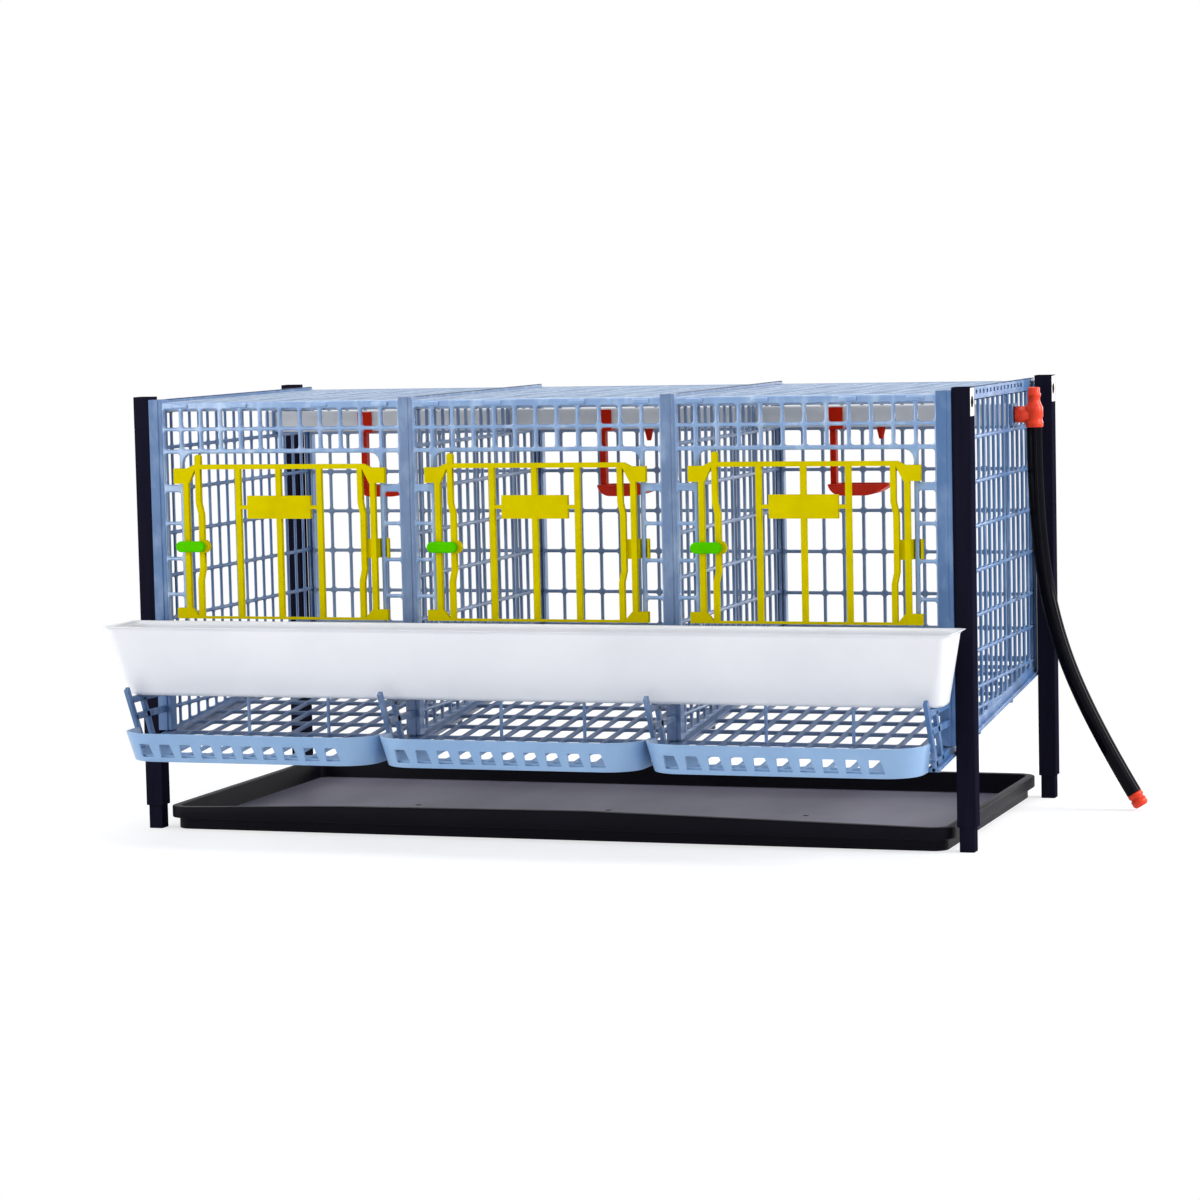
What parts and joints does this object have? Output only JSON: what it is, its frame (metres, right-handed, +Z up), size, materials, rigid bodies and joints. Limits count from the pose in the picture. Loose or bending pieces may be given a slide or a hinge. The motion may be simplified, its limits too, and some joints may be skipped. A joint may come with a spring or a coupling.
{
  "type": "layer chicken cage",
  "caption": "Moulded plastic layer hen cage tier on square posts, with hinged front doors, sloping egg floors, lift-out feed trough, water line and slide-out manure tray.",
  "frame": {"origin": "on the floor, below the middle of the cage's bounding box taken without the hose", "axes": "+X to the right along the cage, -Y out of its front, +Z up"},
  "size_m": [1.3459, 0.703, 0.608],
  "materials": {
    "black_post": "satin",
    "bright_plate": "satin",
    "blue_moulding": "satin",
    "yellow_door": "satin",
    "green_latch": "satin",
    "white_trough": "smooth",
    "black_tray": "fine grain",
    "grey_pipe": "smooth",
    "red_drinker": "smooth",
    "orange_fitting": "smooth",
    "black_hose": "smooth"
  },
  "bodies": {
    "cage": {"post_front_left": "black_post", "post_front_right": "black_post", "post_rear_left": "black_post", "post_rear_right": "black_post", "post_socket_front_left": "black_post", "post_socket_front_right": "black_post", "post_socket_rear_left": "black_post", "post_socket_rear_right": "black_post", "post_lock_plates": "bright_plate", "side_panel_left": "blue_moulding", "partition_1": "blue_moulding", "partition_2": "blue_moulding", "side_panel_right": "blue_moulding", "front_mesh_1": "blue_moulding", "front_ladder_left_1": "blue_moulding", "front_ladder_right_1": "blue_moulding", "front_sill_1": "blue_moulding", "rear_panel_1": "blue_moulding", "top_panel_1": "blue_moulding", "floor_1": "blue_moulding", "egg_lip_1": "blue_moulding", "front_mesh_2": "blue_moulding", "front_ladder_left_2": "blue_moulding", "front_ladder_right_2": "blue_moulding", "front_sill_2": "blue_moulding", "rear_panel_2": "blue_moulding", "top_panel_2": "blue_moulding", "floor_2": "blue_moulding", "egg_lip_2": "blue_moulding", "front_mesh_3": "blue_moulding", "front_ladder_left_3": "blue_moulding", "front_ladder_right_3": "blue_moulding", "front_sill_3": "blue_moulding", "rear_panel_3": "blue_moulding", "top_panel_3": "blue_moulding", "floor_3": "blue_moulding", "egg_lip_3": "blue_moulding", "water_pipe": "grey_pipe", "pipe_end_plug": "grey_pipe", "drinker_1": "red_drinker", "nipple_1": "red_drinker", "drinker_2": "red_drinker", "nipple_2": "red_drinker", "drinker_3": "red_drinker", "nipple_3": "red_drinker", "hose_fitting": "orange_fitting", "hose": "black_hose", "hose_end_fitting": "orange_fitting"},
    "door_1": {"door_1": "yellow_door", "door_clip_1": "yellow_door"},
    "latch_1": {"latch_1": "green_latch"},
    "door_2": {"door_2": "yellow_door", "door_clip_2": "yellow_door"},
    "latch_2": {"latch_2": "green_latch"},
    "door_3": {"door_3": "yellow_door", "door_clip_3": "yellow_door"},
    "latch_3": {"latch_3": "green_latch"},
    "feed_trough": {"feed_trough": "white_trough"},
    "manure_tray": {"manure_tray": "black_tray"}
  },
  "joints": [
    {"name": "door_1_hinge", "type": "hinge", "parent": "cage", "child": "door_1", "pos_m": [-0.225, -0.188, 0.4], "axis": [0, 0, 1], "range_deg": [0, 90]},
    {"name": "latch_1_turn", "type": "hinge", "parent": "door_1", "child": "latch_1", "pos_m": [-0.491, -0.2015, 0.4], "axis": [0, 1, 0], "range_deg": [0, 90]},
    {"name": "door_2_hinge", "type": "hinge", "parent": "cage", "child": "door_2", "pos_m": [0.15, -0.188, 0.4], "axis": [0, 0, 1], "range_deg": [0, 90]},
    {"name": "latch_2_turn", "type": "hinge", "parent": "door_2", "child": "latch_2", "pos_m": [-0.116, -0.2015, 0.4], "axis": [0, 1, 0], "range_deg": [0, 90]},
    {"name": "door_3_hinge", "type": "hinge", "parent": "cage", "child": "door_3", "pos_m": [0.525, -0.188, 0.4], "axis": [0, 0, 1], "range_deg": [0, 90]},
    {"name": "latch_3_turn", "type": "hinge", "parent": "door_3", "child": "latch_3", "pos_m": [0.259, -0.2015, 0.4], "axis": [0, 1, 0], "range_deg": [0, 90]},
    {"name": "feed_trough_lift", "type": "slide", "parent": "cage", "child": "feed_trough", "axis": [0, 0, -1], "range_m": [-0.06, 0]},
    {"name": "manure_tray_slide", "type": "slide", "parent": "cage", "child": "manure_tray", "axis": [0, -1, 0], "range_m": [0, 0.4]}
  ]
}
